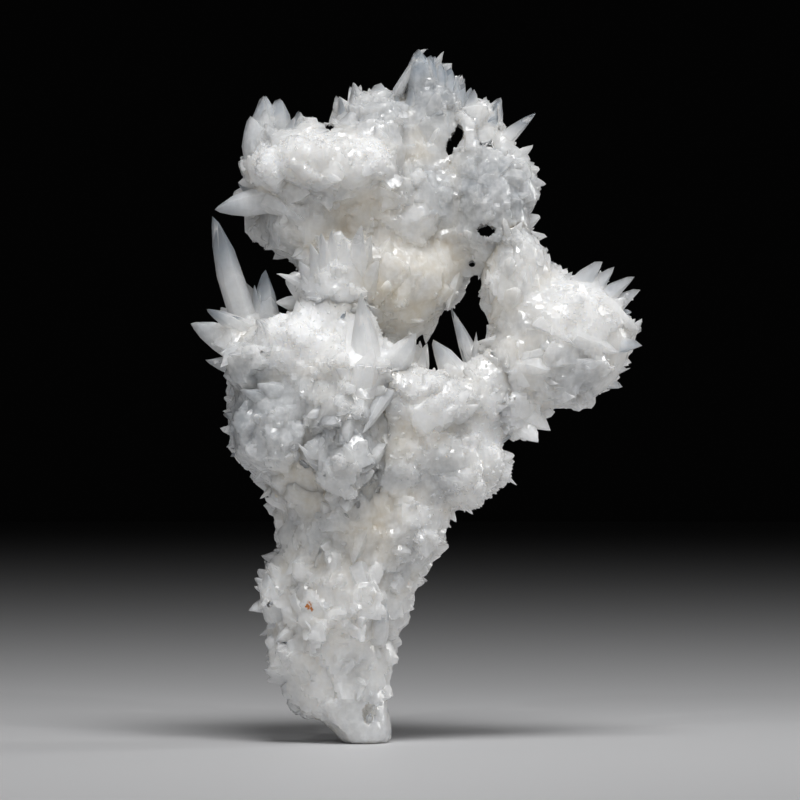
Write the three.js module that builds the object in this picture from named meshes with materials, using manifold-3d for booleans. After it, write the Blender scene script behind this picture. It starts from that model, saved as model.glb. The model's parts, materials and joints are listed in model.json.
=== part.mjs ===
// A branching cluster of calcite crystals, standing upright on its smooth foot.
// Millimetres, +Z up, +X to the right, -Y towards the viewer. The origin is on the ground under the foot.
import * as THREE from "three";
import { ConvexGeometry } from "three/addons/geometries/ConvexGeometry.js";
import { mergeVertices } from "three/addons/utils/BufferGeometryUtils.js";
import Module from "manifold-3d";

const wasm = await Module();
wasm.setup();

// Driving dimensions
const FORK_GAP = 0.6; // clearance where two branches meet, which is narrower on steep faces
const STEM_SIDES = 12;
const STEM_STEP = 7; // usual height between two of the stem's sections
const SMOOTH_BELOW = 12; // the stem is smooth drapery up to here, and crusted with crystals above
const STEM_CRYSTAL_HEIGHT = 3;
const SHORTEST = 0.35; // the shortest crystal of a crust, as a share of the stated height
const LEAN = 0.9; // how far a crust's crystals lean over, as a share of their height
const SCATTER = 0.35; // how far a crust's crystals stray from an even spread, as a share of their spacing
const BELT = 0.5; // place of a free crystal's widest belt between its root and its tip
const BELT_ZIGZAG = 0.08; // the belt's vertices go up and down by this share of the length
const SHARP_EDGE = 0.12; // half length of the edge at a crystal's tip, as a share of its half width
const BLUNT_EDGE = 0.5;
const EDGE_SLANT = 0.35; // how far that edge slopes back
const GOLDEN_ANGLE = Math.PI * (3 - Math.sqrt(5));

// A small pit in the front of the foot.
const FOOT_PIT = { centre: [1, -10.4, 6], half: [1.5, 2.2, 2.4], count: 16, height: 0, tips: [] };

// The stem's sections, from the ground up: height, left and right edges, front and back edges.
const STEM = [
  { z: 0, left: -5.2, right: 5.8, front: -9, back: 9.6 },
  { z: 3.2, left: -6.6, right: 5.6, front: -9.6, back: 10.2 },
  { z: 5.4, left: -11.4, right: 5.4, front: -10, back: 10.8 },
  { z: 8, left: -14.4, right: 5.2, front: -10.4, back: 11.2 },
  { z: 12, left: -16, right: 5, front: -10.8, back: 11.8 },
  { z: 19, left: -16.6, right: 5, front: -11.4, back: 12.4 },
  { z: 26, left: -17.6, right: 8, front: -11.6, back: 13 },
  { z: 33, left: -16.6, right: 10.6, front: -12, back: 14 },
  { z: 41, left: -15.6, right: 11.6, front: -12.4, back: 15 },
  { z: 50, left: -17.6, right: 14, front: -13, back: 16 },
  { z: 59, left: -18, right: 17, front: -13, back: 17 },
  { z: 68, left: -16, right: 16, front: -11, back: 17 },
  { z: 76, left: -12, right: 10, front: -8, back: 15 },
];

// Tips that the stem's own crust reaches on its edges.
const STEM_TIPS = [
  [-19.8, -3, 49],
  [-18.6, -3, 42],
  [-18, -3, 38.4],
  [18.4, -3, 44],
  [13.6, -4, 39],
  [13, -4, 34.6],
  [11.4, -5, 28],
  [9.2, -4, 24],
];

// Lumps of each branch: centre, half sizes, the number and height of the crystals that cover it,
// and the points that the tips of its largest crystals reach.
const TRUNK_LUMPS = {
  leftKnob: {
    centre: [-16.4, -3, 29],
    half: [5, 7, 6],
    count: 13,
    height: 2.8,
    tips: [[-19, -6, 36], [-21.8, -6, 33], [-21.9, -4, 26.6]],
  },
  leftSkirt: {
    centre: [-12.8, -2, 17],
    half: [6, 8.6, 6.6],
    count: 15,
    height: 2.8,
    tips: [[-21, -5, 21.4], [-20, -4, 14.6], [-19.4, -3, 12.4], [-15.4, -5, 8.6]],
  },
  frontKnob: {
    centre: [-4, -9, 29],
    half: [7.5, 5.6, 9],
    count: 22,
    height: 3,
    tips: [[-8.4, -15.4, 39.6], [-3.4, -16.4, 34], [2.4, -15.4, 30], [-3.6, -16.4, 22.4], [-11.6, -14.4, 21]],
  },
  pillar: {
    centre: [-3.2, -15, 58],
    half: [6, 8, 10.5],
    count: 28,
    height: 3.2,
    tips: [[-6.6, -23.4, 64.6], [0.6, -24, 66.6], [2.2, -20.6, 54.4], [-3.4, -21.4, 46.6], [-9, -19.4, 52.6]],
  },
  snowLobe: {
    centre: [18, -4, 57],
    half: [9.4, 9, 9.6],
    count: 32,
    height: 2.8,
    tips: [[30, -6, 57.4], [29.4, -6, 61.2], [27.4, -6, 52.6], [22.8, -4, 48]],
  },
  snowTop: {
    centre: [13, -8, 67],
    half: [9, 7.4, 6],
    count: 20,
    height: 2.8,
    tips: [[15.4, -18, 67.8], [8.4, -17, 68.6]],
  },
  rightUnder: { centre: [7.6, -4, 44], half: [7.4, 8.4, 8.6], count: 18, height: 2.6, tips: [] },
  backKnob: { centre: [-7, 11, 56], half: [14, 11, 14], count: 38, height: 3.6, tips: [] },
};
const LEFT_LUMPS = {
  lobe: {
    centre: [-16.6, -6, 63],
    half: [8.8, 10.5, 10.4],
    count: 34,
    height: 3,
    tips: [[-27, -6, 67], [-28.6, -6, 62.8], [-27.4, -6, 59], [-25, -6, 56.6], [-22, -6, 52], [-19, -17, 57]],
  },
  lobeBack: { centre: [-17, 9, 67], half: [9.6, 12, 13], count: 32, height: 3.6, tips: [] },
  shoulder: {
    centre: [-19, -3, 75.5],
    half: [7.4, 10, 6.4],
    count: 20,
    height: 2.8,
    tips: [[-33, -7, 80], [-31.6, -5, 76.4], [-30.6, -4, 73.6]],
  },
  cap: { centre: [-13, -8, 79], half: [7, 8, 6.6], count: 18, height: 2, tips: [[-13.2, -12, 88.2]] },
  breast: {
    centre: [-2, -10, 73],
    half: [9.4, 8, 7.6],
    count: 24,
    height: 3.2,
    tips: [[-3.6, -13, 86], [6.4, -18.4, 74.4], [-6.4, -19.4, 76], [1.4, -19.4, 70.6], [-10.6, -18.6, 72.6]],
  },
  sprayBase: {
    centre: [-22.4, 1, 82],
    half: [5.4, 7, 5.4],
    count: 14,
    height: 3,
    tips: [[-21.8, 0, 91.6], [-26.6, 1, 90], [-29, 9, 87], [-25, 8, 93]],
  },
};
const CROWN_LUMPS = {
  root: { centre: [-1, 5, 81], half: [10, 9, 8], count: 18, height: 2.4, tips: [] },
  ball: { centre: [4, 6, 93.5], half: [14.6, 12, 11.6], count: 38, height: 3, tips: [] },
  bouquet: {
    centre: [-4.6, -3, 92.5],
    half: [7.6, 9.6, 8.6],
    count: 26,
    height: 3.2,
    tips: [
      [-5.4, -12.6, 102.4],
      [-9.6, -11.4, 102],
      [-14.4, -8, 96.8],
      [-15.6, -8, 92.2],
      [-3.6, -16, 95],
      [4, -13.4, 96],
      [-10.4, -13.4, 87],
      [-0.4, -14.6, 86.6],
    ],
  },
  underShelf: { centre: [-11.4, 4, 104.6], half: [7.4, 12, 8], count: 20, height: 2.2, tips: [] },
  shelf: {
    centre: [-8, -1, 114.6],
    half: [15.8, 14, 6.6],
    count: 42,
    height: 2.8,
    tips: [[-25, -6, 111.6], [-25, -5, 116], [-13, -5, 126], [-10, -5, 124.6], [-6.6, -4, 124.8]],
  },
  backShelf: { centre: [-12, 12, 111], half: [11.5, 10, 9], count: 24, height: 3.4, tips: [] },
  tower: {
    centre: [-19.4, 0, 120],
    half: [4.6, 6.6, 6.6],
    count: 11,
    height: 2.2,
    tips: [[-24, -1, 124.4], [-20, -1, 129.2], [-16.8, -1, 128.4]],
  },
  middle: {
    centre: [2, 4, 121],
    half: [9, 10, 8.4],
    count: 28,
    height: 2.8,
    tips: [[-5, 1, 129.2], [-2.2, 1, 132], [1, 3, 131], [3.4, 1, 131.8], [6, 1, 131.4]],
  },
  core: { centre: [6, 5, 108], half: [14.6, 10.4, 9.6], count: 34, height: 3, tips: [] },
  spire: {
    centre: [13.4, 3, 124.6],
    half: [4.4, 5.6, 9],
    count: 16,
    height: 2.6,
    tips: [[17.8, 1, 134.6]],
  },
  horn: {
    centre: [21.8, 4, 120.6],
    half: [5.2, 6, 8.2],
    count: 14,
    height: 2.6,
    tips: [[21.4, 2, 131], [25.8, 1, 131.6], [27.4, 2, 129]],
  },
  bridge: { centre: [18, 6, 98], half: [6.4, 7, 7], count: 12, height: 2.4, tips: [] },
  columnFoot: { centre: [30, 1, 100.4], half: [5.6, 6, 5], count: 10, height: 2.4, tips: [[36.6, 0, 101]] },
  column: {
    centre: [25.4, 2, 108],
    half: [7.4, 7, 13.4],
    count: 30,
    height: 2.8,
    tips: [[32.8, 0, 122.6], [33.8, 0, 119.4], [35, 0, 114.4], [34.8, 0, 108.8], [35.2, 0, 105.2]],
  },
};
const RIGHT_LUMPS = {
  lobe: {
    centre: [38.4, -1, 80],
    half: [12.2, 8, 11.6],
    count: 44,
    height: 3.6,
    tips: [
      [43, -2, 93.6],
      [47.4, -3, 96],
      [50, -2, 94.4],
      [54.4, -4, 92.6],
      [53.6, 1, 86],
      [54.4, -2, 82.4],
      [51.2, -3, 75.8],
      [47, -3, 68.6],
      [42, -3, 66.2],
      [40, -12, 87],
      [45, -11.4, 82],
      [34, -12, 84],
      [37.6, -13, 77],
      [43.4, -11.6, 73],
    ],
  },
  foot: {
    centre: [28.6, -1, 69.6],
    half: [8.4, 7.4, 8.4],
    count: 22,
    height: 2.8,
    tips: [[38.4, -3, 64.4], [33.6, -3, 62.2], [31.4, -11.4, 71.6]],
  },
  neck: {
    centre: [30.6, 1, 90],
    half: [6.6, 7, 9.4],
    count: 20,
    height: 3,
    tips: [[33.6, -2, 97.4], [38.4, -3, 96], [41, -1, 94]],
  },
};

// Crystals that stand free of their lump: root, tip, width, and a blunt end where they have one.
const TRUNK_CRYSTALS = [
  // The fold of drapery down the foot, and the tooth in its pit
  { root: [-9, -8, 15], tip: [-3.8, -9.2, 1], width: 3.4 },
  { root: [0.8, -8, 4.6], tip: [1.2, -10.2, 6.8], width: 1.6 },
  // Teeth round the hollow behind the white lobe
  { root: [11, -4, 69], tip: [12, -6, 78.8], width: 4.4 },
  { root: [13.4, -3, 68], tip: [16, -6, 75], width: 4.4 },
  { root: [22, -5, 68], tip: [13.8, -7, 80.4], width: 6.6, edge: BLUNT_EDGE },
  { root: [22, -3, 63], tip: [22.4, -4, 82], width: 4.2 },
];
const LEFT_CRYSTALS = [
  { root: [-22, 0, 81], tip: [-30.4, -4, 105], width: 5.6 },
  { root: [-19.6, 0, 80], tip: [-19.6, -2, 94.4], width: 4.2 },
  { root: [-22, -3, 82], tip: [-31.2, -8, 86.4], width: 3.4 },
  { root: [-20, -1, 79], tip: [-35, -5, 83.2], width: 6.4, edge: BLUNT_EDGE },
  { root: [-11, -10, 64], tip: [-24.4, -16, 70.6], width: 5.4 },
  { root: [1, -9, 75], tip: [-0.4, -13, 89.6], width: 7.4 },
  { root: [2, -11, 73], tip: [10.8, -16, 82], width: 6, edge: BLUNT_EDGE },
];
const CROWN_CRYSTALS = [
  { root: [13, 3, 120], tip: [10.9, 0, 138.6], width: 6, edge: BLUNT_EDGE },
  { root: [13.6, 4, 122], tip: [14.4, 1, 137.2], width: 5.6 },
  { root: [14, 3, 122], tip: [19.8, 0, 132.6], width: 5.6, edge: BLUNT_EDGE },
  { root: [-14, -3, 109.6], tip: [-29.8, -8, 106.2], width: 5.4 },
  { root: [24, 2, 117], tip: [34.4, 0, 125.8], width: 4 },
  { root: [-1, -5, 91], tip: [-0.4, -13.6, 103], width: 6.4 },
];
const RIGHT_CRYSTALS = [
  { root: [31, -1, 84], tip: [23.6, -3, 87.6], width: 4.4 },
  { root: [29, 0, 73], tip: [24.6, -1, 87], width: 5.8 },
  { root: [25, 1, 69], tip: [17.4, 1, 87], width: 5 },
  { root: [36, -2, 79.6], tip: [55.4, -6, 79], width: 5.6, edge: BLUNT_EDGE },
  { root: [36, -1, 82], tip: [55, -3, 90], width: 6, edge: BLUNT_EDGE },
  { root: [36, -1, 84], tip: [48.6, -2, 95.6], width: 6, edge: BLUNT_EDGE },
  { root: [36, -1, 77], tip: [51.6, -2, 71.4], width: 6.4, edge: BLUNT_EDGE },
];

const CALCITE = { color: 0xf1f0ec, roughness: 0.3, metalness: 0 };

// A repeatable source of random numbers from 0 to 1.
function seeded(seed) {
  let state = seed >>> 0;
  return () => {
    state = (state + 0x6d2b79f5) >>> 0;
    let t = Math.imul(state ^ (state >>> 15), 1 | state);
    t = (t + Math.imul(t ^ (t >>> 7), 61 | t)) ^ t;
    return ((t ^ (t >>> 14)) >>> 0) / 4294967296;
  };
}

// A closed three.js geometry as a solid that can be joined and cut.
function solidOf(geometry) {
  const bare = geometry.clone();
  bare.deleteAttribute("normal");
  bare.deleteAttribute("uv");
  const merged = mergeVertices(bare, 1e-4);
  return new wasm.Manifold(
    new wasm.Mesh({
      numProp: 3,
      vertProperties: merged.attributes.position.array,
      triVerts: new Uint32Array(merged.index.array),
    }),
  );
}

function meshOf(solid, name) {
  const { vertProperties, triVerts } = solid.getMesh();
  const geometry = new THREE.BufferGeometry();
  geometry.setAttribute("position", new THREE.BufferAttribute(vertProperties, 3));
  geometry.setIndex(new THREE.BufferAttribute(triVerts, 1));
  geometry.computeVertexNormals();
  const mesh = new THREE.Mesh(geometry, new THREE.MeshStandardMaterial({ ...CALCITE, flatShading: true }));
  mesh.name = name;
  return mesh;
}

// Covers a closed surface with crystals: one stands on each vertex, with valleys in the middle of the faces.
// The crystals nearest to the given tips reach them.
function crust(base, heightAt, tips, random, grow = 0) {
  const plain = base.clone();
  plain.deleteAttribute("normal");
  plain.deleteAttribute("uv");
  const merged = mergeVertices(plain, 1e-4);
  merged.computeVertexNormals();
  const { position, normal } = merged.attributes;
  const index = merged.index.array;
  const vertex = (i) => new THREE.Vector3().fromBufferAttribute(position, i);
  const points = [];
  for (let i = 0; i < position.count; i += 1) {
    const point = vertex(i);
    const height = heightAt(point) * (SHORTEST + random());
    const lean = new THREE.Vector3(random() - 0.5, random() - 0.5, random() - 0.5).multiplyScalar(LEAN);
    const out = new THREE.Vector3().fromBufferAttribute(normal, i).add(lean);
    points.push(point.addScaledVector(out, height));
  }
  const free = new Set(points.keys());
  for (const tip of tips) {
    const target = new THREE.Vector3(...tip);
    const distance = (i) => vertex(i).distanceTo(target);
    const nearest = [...free].reduce((best, i) => (distance(i) < distance(best) ? i : best));
    free.delete(nearest);
    const beyond = target.clone().sub(vertex(nearest)).setLength(grow);
    points[nearest].copy(target).add(beyond);
  }
  const faceOf = new Map();
  for (let k = 0; k < index.length; k += 3) {
    const [a, b, c] = index.slice(k, k + 3);
    points.push(vertex(a).add(vertex(b)).add(vertex(c)).divideScalar(3));
    const valley = points.length - 1;
    faceOf.set(`${a} ${b}`, valley);
    faceOf.set(`${b} ${c}`, valley);
    faceOf.set(`${c} ${a}`, valley);
  }
  const faces = [];
  for (const [edge, left] of faceOf) {
    const [a, b] = edge.split(" ").map(Number);
    faces.push(a, faceOf.get(`${b} ${a}`), left);
  }
  const geometry = new THREE.BufferGeometry().setFromPoints(points);
  geometry.setIndex(faces);
  return solidOf(geometry);
}

// An ellipsoid covered with crystals.
function lump({ centre, half, count, height, tips }, random, grow = 0) {
  const spacing = Math.sqrt((4 * Math.PI) / count);
  const directions = [];
  for (let i = 0; i < count; i += 1) {
    const level = 1 - (2 * (i + 0.5)) / count;
    const ring = Math.sqrt(1 - level * level);
    const angle = i * GOLDEN_ANGLE;
    const stray = new THREE.Vector3(random() - 0.5, random() - 0.5, random() - 0.5);
    const direction = new THREE.Vector3(ring * Math.cos(angle), ring * Math.sin(angle), level);
    directions.push(direction.addScaledVector(stray, SCATTER * spacing).normalize());
  }
  const ball = new ConvexGeometry(directions);
  ball.scale(half[0] + grow, half[1] + grow, half[2] + grow);
  ball.translate(...centre);
  return crust(ball, () => height, tips, random, grow);
}

// One steep crystal: six faces down to its root, and eight up to the short edge that ends it.
function crystal({ root, tip, width, edge = SHARP_EDGE }, spin = 0, grow = 0) {
  const from = new THREE.Vector3(...root);
  const axis = new THREE.Vector3(...tip).sub(from);
  const length = axis.length();
  const turn = new THREE.Quaternion().setFromUnitVectors(new THREE.Vector3(0, 0, 1), axis.normalize());
  const half = width / 2 + grow;
  const place = (radius, angle, height) =>
    new THREE.Vector3(radius * Math.cos(angle), radius * Math.sin(angle), height)
      .applyQuaternion(turn)
      .add(from);
  const points = [place(0, 0, -grow)];
  for (let i = 0; i < 6; i += 1) {
    const side = i % 2 === 0 ? 1 : -1;
    points.push(place(half, spin + (i * Math.PI) / 3, length * (BELT + BELT_ZIGZAG * side)));
  }
  points.push(place(edge * half, spin, length + grow));
  points.push(place(edge * half, spin + Math.PI, length * (1 - EDGE_SLANT * edge) + grow));
  const faces = [1, 2, 7, 6, 1, 7, 2, 3, 7, 5, 6, 7, 3, 8, 7, 8, 5, 7, 3, 4, 8, 4, 5, 8];
  for (let i = 0; i < 6; i += 1) faces.push(0, 1 + ((i + 1) % 6), 1 + i);
  const geometry = new THREE.BufferGeometry().setFromPoints(points);
  geometry.setIndex(faces);
  return solidOf(geometry);
}

// The smooth foot and the crusted stem above it, as rings of points from the ground up.
function stem(random, grow = 0) {
  const points = [];
  STEM.forEach(({ z, left, right, front, back }, level) => {
    const stray = z > SMOOTH_BELOW ? SCATTER : 0;
    for (let i = 0; i < STEM_SIDES; i += 1) {
      const angle = ((i + level / 2 + stray * (random() - 0.5)) * 2 * Math.PI) / STEM_SIDES;
      const lift = stray * STEM_STEP * (random() - 0.5);
      const x = (left + right) / 2 + ((right - left) / 2 + grow) * Math.cos(angle);
      const y = (front + back) / 2 + ((back - front) / 2 + grow) * Math.sin(angle);
      points.push(new THREE.Vector3(x, y, z + lift));
    }
  });
  const bottom = points.length;
  const top = bottom + 1;
  const last = STEM[STEM.length - 1];
  points.push(new THREE.Vector3(0, 0, STEM[0].z));
  points.push(new THREE.Vector3((last.left + last.right) / 2, (last.front + last.back) / 2, last.z + 2));
  const rim = (STEM.length - 1) * STEM_SIDES;
  const faces = [];
  for (let i = 0; i < STEM_SIDES; i += 1) {
    const j = (i + 1) % STEM_SIDES;
    for (let low = 0; low < rim; low += STEM_SIDES) {
      const high = low + STEM_SIDES;
      faces.push(low + i, low + j, high + i, low + j, high + j, high + i);
    }
    faces.push(bottom, j, i, top, rim + i, rim + j);
  }
  const geometry = new THREE.BufferGeometry().setFromPoints(points);
  geometry.setIndex(faces);
  const heightAt = ({ z }) => (z > SMOOTH_BELOW ? STEM_CRYSTAL_HEIGHT : 0);
  return crust(geometry, heightAt, STEM_TIPS, random, grow);
}

const BRANCHES = {
  trunk: { lumps: TRUNK_LUMPS, crystals: TRUNK_CRYSTALS, seed: 5 },
  left_branch: { lumps: LEFT_LUMPS, crystals: LEFT_CRYSTALS, seed: 11 },
  crown: { lumps: CROWN_LUMPS, crystals: CROWN_CRYSTALS, seed: 5 },
  right_branch: { lumps: RIGHT_LUMPS, crystals: RIGHT_CRYSTALS, seed: 12 },
};

// All that one branch is made of, joined, either true to size or a little larger.
function branch(name, grow) {
  const { lumps, crystals, seed } = BRANCHES[name];
  const random = seeded(seed);
  const parts = Object.values(lumps).map((spec) => lump(spec, random, grow));
  for (const spec of crystals) parts.push(crystal(spec, random() * Math.PI, grow));
  if (name !== "trunk") return wasm.Manifold.union(parts);
  const pit = lump(FOOT_PIT, random);
  return wasm.Manifold.union(parts).add(stem(random, grow).subtract(pit));
}

// The largest body of a solid, without the chips that a cut leaves.
function largest(solid) {
  return solid.decompose().reduce((best, body) => (body.volume() > best.volume() ? body : best));
}

// Each branch is cut back from the ones before it, so that they meet with a fine gap.
const cluster = new THREE.Group();
const clearances = [];
for (const name of Object.keys(BRANCHES)) {
  const whole = branch(name, 0);
  const solid = clearances.reduce((left, taken) => left.subtract(taken), whole);
  clearances.push(whole.add(branch(name, FORK_GAP)));
  cluster.add(meshOf(largest(solid), name));
}

export default cluster;
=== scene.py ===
import json
import math
import random
from collections import namedtuple

import bmesh
import bpy
import numpy as np
from mathutils import Matrix, Vector, noise
from mathutils.bvhtree import BVHTree
from mathutils.kdtree import KDTree

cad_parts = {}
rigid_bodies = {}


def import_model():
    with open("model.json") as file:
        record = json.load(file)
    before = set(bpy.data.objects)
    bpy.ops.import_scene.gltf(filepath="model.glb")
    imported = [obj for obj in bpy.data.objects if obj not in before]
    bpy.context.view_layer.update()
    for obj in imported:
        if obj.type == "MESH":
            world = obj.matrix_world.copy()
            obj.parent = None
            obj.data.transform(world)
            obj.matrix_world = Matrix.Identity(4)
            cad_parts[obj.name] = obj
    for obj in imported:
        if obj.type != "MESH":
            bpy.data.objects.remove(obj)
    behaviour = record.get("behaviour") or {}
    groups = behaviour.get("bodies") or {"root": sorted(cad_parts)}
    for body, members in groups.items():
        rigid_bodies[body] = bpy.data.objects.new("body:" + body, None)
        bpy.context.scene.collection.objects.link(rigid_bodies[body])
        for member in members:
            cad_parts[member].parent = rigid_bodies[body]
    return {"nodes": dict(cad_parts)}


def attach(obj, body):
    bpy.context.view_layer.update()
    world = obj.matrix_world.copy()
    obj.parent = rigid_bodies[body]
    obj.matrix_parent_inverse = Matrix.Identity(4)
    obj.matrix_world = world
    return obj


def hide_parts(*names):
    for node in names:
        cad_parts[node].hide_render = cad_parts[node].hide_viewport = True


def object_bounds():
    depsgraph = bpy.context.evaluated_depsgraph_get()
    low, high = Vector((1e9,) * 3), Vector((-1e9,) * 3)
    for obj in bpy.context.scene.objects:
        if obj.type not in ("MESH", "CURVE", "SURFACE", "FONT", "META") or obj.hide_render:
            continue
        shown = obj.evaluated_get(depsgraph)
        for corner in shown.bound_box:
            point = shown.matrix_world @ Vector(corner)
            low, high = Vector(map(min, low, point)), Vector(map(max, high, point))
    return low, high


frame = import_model()
cad_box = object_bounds()

# Lengths are in millimetres in the geometry, and turned into metres when a piece is made.
MM = 0.001
FRONT = Vector((0, -1, 0))
BOX_LOW = cad_box[0] / MM
BOX_HIGH = cad_box[1] / MM

# The photograph's frame: 160 mm across at the object's middle plane, seen level from the front.
IMAGE_WIDTH = 160
CAMERA_DISTANCE = 1100
CAMERA_X = 7.2
CAMERA_HEIGHT = 68.4
SENSOR_WIDTH = 36

# The form under the crystals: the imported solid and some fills, rounded off. Its skin is made of flat faces
# of several sizes, in millimetres, each tilted its own way.
CORE_VOXEL = 0.8
CORE_SMOOTHING = 9
CORE_FACETS = ((9.0, 0.5), (4.0, 0.5), (1.8, 0.25))
FACET_VARIETY = 3.7
SHARP_ANGLE = math.radians(28)

# The hull is all branches in one much smoother body. A hollow is where a core lies under it, and is filled
# by this share, but not if it is deeper than this. Lumps that rise out of it are flattened by a share.
HULL_VOXEL = 1.1
HULL_SMOOTHING = 80
HOLLOW_DEPTH = 2.2
HOLLOW_FILLED = 0.9
TOO_DEEP = 7
FLATTENED = 0.4

# A crystal is rooted at least this deep under the skin.
ROOT_DEPTH = 1.2

# Round crystals that stand free, the skin keeps this far back and carries no others. Under a mass that
# belongs to another branch it keeps farther back.
CLEARANCE = 0.7
SEAM_CLEARANCE = 2
CLEAR_FROM = 0.35

# Where the skin has the cream tint and painted shade of the hollows, its facets are flatter and its small crystals
# fewer by this share.
CREAM_AND_SHADE_CALM = 0.5

# The foot is smooth up to here, and the crystals grow denser up to there.
SMOOTH_BELOW = 10
CRUSTED_ABOVE = 19

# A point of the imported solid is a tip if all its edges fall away, and faces the front or the
# side by how far its normal points along Y.
PEAK_SLOPE = -0.2
FACES_FRONT = -0.55
SIDEWAYS = 0.4

# Shapes of a crystal: the levels of its rings from root 0 to tip 1, the level where it is widest, and how
# far the corners of a ring step up and down in turn. Beyond the widest level it tapers, straight to the
# tip if it is sharp, and late if it is blunt.
Habit = namedtuple("Habit", "rings belt zigzag")
BLADE = Habit((0.12, 0.35, 0.58, 0.78, 0.92), 0.12, 0.03)
LEAF = Habit((0.25, 0.5, 0.72, 0.9), 0.45, 0.04)
CHIP = Habit((0.5, 0.84), 0.5, 0.07)
SHARP_TAPER = 1.2
BLUNT_TAPER = 3
WOBBLE = 0.07

# Where across a bundle its side crystals grow, from -1 to 1, and how far up it they reach.
BUNDLE_SIDES = (-1, 1, -0.5, 0.6)
BUNDLE_REACH = (0.5, 0.9)

# Where a clear crystal turns from milky to glassy, from root 0 to tip 1.
GLASSY_FROM = 0.55
GLASSY_BY = 0.85

# Centres that the crystals of each branch grow away from. At each, the large crystals have a width and a
# length, and stand on a share of the solid's tips, and of the tips that face the front. A share of the
# places between them carries rays, another carries leaves, and a share of the patches carries fine chips.
ZONE_FIELDS = "centre width length large front rays leaves fine"
Zone = namedtuple("Zone", ZONE_FIELDS, defaults=(5, 8, 0.75, 0.06, 0.5, 0.12, 0.05))
GROWTH = {
    "trunk": [
        Zone((-8, 0, 14), width=4.6, rays=0.3, leaves=0.1, fine=0),
        Zone((4, 0, 20), width=4, length=7, large=0.3, rays=0.3, leaves=0.1, fine=0),
        Zone((-9, 0, 28), front=0.1),
        Zone((6, 2, 34), width=4.4, length=7, large=0.3, leaves=0.2, fine=0.1),
        Zone((-8, 2, 42), width=4.2, length=7),
        Zone((-4, -4, 44), length=9, front=0.15, rays=0.8, leaves=0.3),
        Zone((14, 2, 52), width=4, length=7, large=0.4, fine=0.6),
        Zone((10, -1, 62), width=4.2, length=7, large=0.5, fine=0.6),
        Zone((-6, 8, 58), width=5.6, length=9),
        Zone((2, 8, 30), width=5.2, length=9),
    ],
    "left_branch": [
        Zone((-12, -2, 62), width=6.4, length=10, front=0.15, rays=0.3),
        Zone((-14, 8, 66), width=5.8, length=10),
        Zone((-14, 0, 74), width=5.4, length=9),
        Zone((-12, -5, 78), width=3.2, length=5, front=0.1, leaves=0.2, fine=0.6),
        Zone((-2, -4, 66), width=5.8, length=10, front=0.1, rays=0.8),
        Zone((-20, 1, 78), width=5.4, length=9, leaves=0.2, fine=0.1),
    ],
    "crown": [
        Zone((2, 6, 92), width=4.6, length=7, large=0.4, front=0, rays=0.6, leaves=0.05, fine=0),
        Zone((-4, 0, 80), width=5.4, length=10, front=0, rays=1, leaves=0.1, fine=0.1),
        Zone((-8, 4, 106), width=5.4, front=0, rays=0.3),
        Zone((-14, 12, 108), width=5.6, length=9),
        Zone((-19, 0, 112), width=6, length=10, front=0, rays=0.3),
        Zone((2, 5, 112), width=5.8, length=9, front=0.1),
        Zone((13, 4, 114), width=4.8, large=0.5, front=0.1),
        Zone((21, 4, 110), width=4.6, large=0.5),
        Zone((24, 4, 100), width=4.6, length=7, large=0.5),
        Zone((8, 5, 102), width=5.2, front=0.1),
    ],
    "right_branch": [
        Zone((27, 1, 76), width=6, length=18, large=0.6, front=0, rays=1, leaves=0.05, fine=0.1),
        Zone((27, 2, 70), length=10, large=0.5, front=0, rays=1, leaves=0.1),
        Zone((29, 2, 84), width=5.6, length=10, large=0.6, front=0, rays=1, leaves=0.05),
    ],
}

# Generations of smaller crystals: their spacing and width, how deep under the skin and how far back along
# it they are rooted, how far out of it and ahead along it they reach, and their shape. Rays lie along the
# skin, away from the growth centre.
Generation = namedtuple("Generation", "spacing width depth back out ahead habit")
RAYS = Generation(3.2, 4, 2.6, 5, 0.1, 3.2, BLADE)
LEAVES = Generation(2.6, 3.2, 3.2, 1.6, 0.5, 0.8, LEAF)
CHIPS = Generation(1.15, 1.3, 1.4, 0.7, 0.4, 0.3, CHIP)
CHIP_PATCH = 7

# Smooth masses that fill the valleys between the tips of the lumps: centre and half sizes.
FILLS = {
    "trunk": [
        ((-2, -8, 47), (8, 8, 13)),
        ((8, -7, 58), (10, 8, 9)),
        ((7.6, -4, 44), (8.6, 9.6, 10)),
        ((18, -4, 57), (10.4, 10, 10.4)),
        ((13, -8, 67), (9.6, 8.2, 6.6)),
        ((-4, -6, 29), (8.6, 7.6, 10)),
        ((-17.4, -11, 78), (2.2, 2.2, 2.2)),
    ],
    "left_branch": [
        ((-16.6, -6, 63), (9.8, 11.4, 11.4)),
        ((-11, -8, 69), (9, 9, 8)),
        ((-15, -6, 56), (6, 8, 6)),
        ((-19, -3, 75.5), (8.2, 10.8, 7)),
        ((-13, -8, 79), (7.6, 8.8, 7)),
        ((-2, -10, 73), (10.2, 8.8, 8.2)),
        ((-3, -8, 66), (8, 7, 8)),
        ((-7, -3, 80), (9, 8, 7)),
    ],
    "crown": [
        ((4, 5, 93), (15.4, 12.8, 12.2)),
        ((-4.6, -3, 92), (8.4, 10, 9)),
        ((-11.4, 3, 104.6), (8.4, 12.6, 8.6)),
        ((-15.4, -1, 101.8), (3.6, 4, 3.8)),
        ((-8, -2, 114.6), (16.6, 14.4, 7.2)),
        ((6, 4, 108), (15.6, 11.6, 10.6)),
        ((2, 3, 121), (9.6, 10.2, 9)),
        ((25.4, 2, 108), (8.2, 7.8, 14)),
        ((14, 2, 124), (5.6, 5, 10.4)),
        ((21.8, 3, 120.6), (5.6, 6, 8.4)),
    ],
    "right_branch": [
        ((39.2, -2, 80), (14.6, 9.4, 13.4)),
        ((31, -2, 76), (8, 8, 9)),
        ((30.6, 0, 90), (7, 7.4, 9.6)),
        ((29, -3, 68), (7, 7, 7)),
    ],
}

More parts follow.
